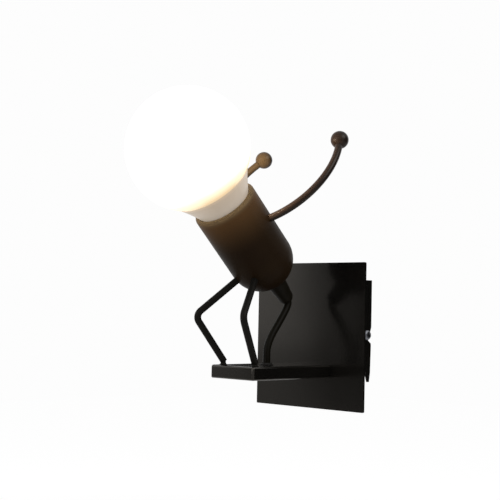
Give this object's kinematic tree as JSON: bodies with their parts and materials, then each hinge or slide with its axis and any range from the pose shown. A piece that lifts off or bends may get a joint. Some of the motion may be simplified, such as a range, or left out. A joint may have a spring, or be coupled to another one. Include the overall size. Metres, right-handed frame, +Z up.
{
  "type": "wall light",
  "caption": "Wall light in the shape of a diver: a tilted metal cup with a lit globe bulb as its head, bent rod arms and legs, standing on a shelf that juts from a square back plate.",
  "frame": {"origin": "on the wall plane, midway between the two slots of the wall strap", "axes": "+Z up, +Y into the wall, +X to the right of someone who faces the light"},
  "size_m": [0.12, 0.206, 0.2483],
  "materials": {
    "black_steel": "black semi-gloss enamel",
    "zinc_steel": "bright zinc plating",
    "brass": "bare machined brass",
    "nickelled_brass": "nickel plating",
    "phenolic": "moulded black phenolic",
    "black_nylon": "moulded black nylon",
    "black_rubber": "matt black rubber",
    "flex_sheath": "smooth black cable sheath",
    "live_core": "brown insulation",
    "neutral_core": "blue insulation",
    "earth_core": "green and yellow insulation",
    "opal_globe": "opal white, lit",
    "ivory_plastic": "warm ivory moulding",
    "bulb_cap_metal": "pressed thread, satin",
    "black_glass": "black vitreous ring",
    "white_board": "white solder mask on aluminium",
    "yellow_phosphor": "phosphor under clear resin",
    "green_board": "green solder mask",
    "component_case": "dark component cases",
    "white_nylon": "translucent white nylon"
  },
  "bodies": {
    "fixture": {"wall_strap": "black_steel", "cable_bush": "black_rubber", "back_plate": "black_steel", "plate_lugs": "zinc_steel", "side_screws": "zinc_steel", "shelf": "black_steel", "shelf_screws": "zinc_steel", "shelf_nuts": "zinc_steel", "shelf_grommet": "black_rubber", "plate_grommet": "black_rubber", "lamp_cup": "black_steel", "right_leg": "black_steel", "left_leg": "black_steel", "hip_nuts": "zinc_steel", "foot_nuts": "zinc_steel", "lampholder_body": "phenolic", "lampholder_base": "phenolic", "lampholder_screws": "zinc_steel", "screw_shell": "nickelled_brass", "centre_contact": "nickelled_brass", "holder_terminals": "brass", "holder_terminal_screws": "zinc_steel", "threaded_tube": "zinc_steel", "tube_nuts": "zinc_steel", "earth_tag": "nickelled_brass", "cord_grip": "black_nylon", "cord_grip_screw": "zinc_steel", "arm_washers": "zinc_steel", "flex": "flex_sheath", "holder_core_live": "live_core", "holder_core_neutral": "neutral_core", "holder_core_earth": "earth_core", "base_core_live": "live_core", "base_core_neutral": "neutral_core", "base_core_earth": "earth_core", "earth_link": "earth_core", "earth_link_tag": "nickelled_brass", "earth_nut": "zinc_steel", "terminal_block": "white_nylon", "terminal_inserts": "brass", "clamp_screws": "zinc_steel", "terminal_nut": "zinc_steel"},
    "right_arm_body": {"right_arm": "black_steel", "right_hand": "black_steel", "right_arm_nut": "zinc_steel"},
    "left_arm_body": {"left_arm": "black_steel", "left_hand": "black_steel", "left_arm_nut": "zinc_steel"},
    "bulb_carrier": {"bulb_contact": "nickelled_brass"},
    "bulb": {"bulb_globe": "opal_globe", "bulb_collar": "ivory_plastic", "bulb_screw_cap": "bulb_cap_metal", "bulb_cap_insulator": "black_glass", "led_board": "white_board", "led_chips": "yellow_phosphor", "driver_board": "green_board", "driver_parts": "component_case"}
  },
  "joints": [
    {"name": "right_arm_turn", "type": "hinge", "parent": "fixture", "child": "right_arm_body", "pos_m": [0, -0.10033, 0.05563], "axis": [0.859, 0.3621, 0.3621], "range_deg": [-100, 80]},
    {"name": "left_arm_turn", "type": "hinge", "parent": "fixture", "child": "left_arm_body", "pos_m": [0, -0.10033, 0.05563], "axis": [0.859, -0.3621, -0.3621], "range_deg": [-87, 93]},
    {"name": "bulb_travel", "type": "slide", "parent": "fixture", "child": "bulb_carrier", "axis": [0, -0.7071, 0.7071], "range_m": [0, 0.0184]},
    {"name": "bulb_turn", "type": "hinge", "parent": "bulb_carrier", "child": "bulb", "pos_m": [0, -0.1208, 0.0761], "axis": [0, -0.7071, 0.7071], "range_deg": [0, 1800]}
  ],
  "couplings": [
    {"joint": "bulb_travel", "follows": "bulb_turn", "m_per_rad": 0.00057757}
  ]
}
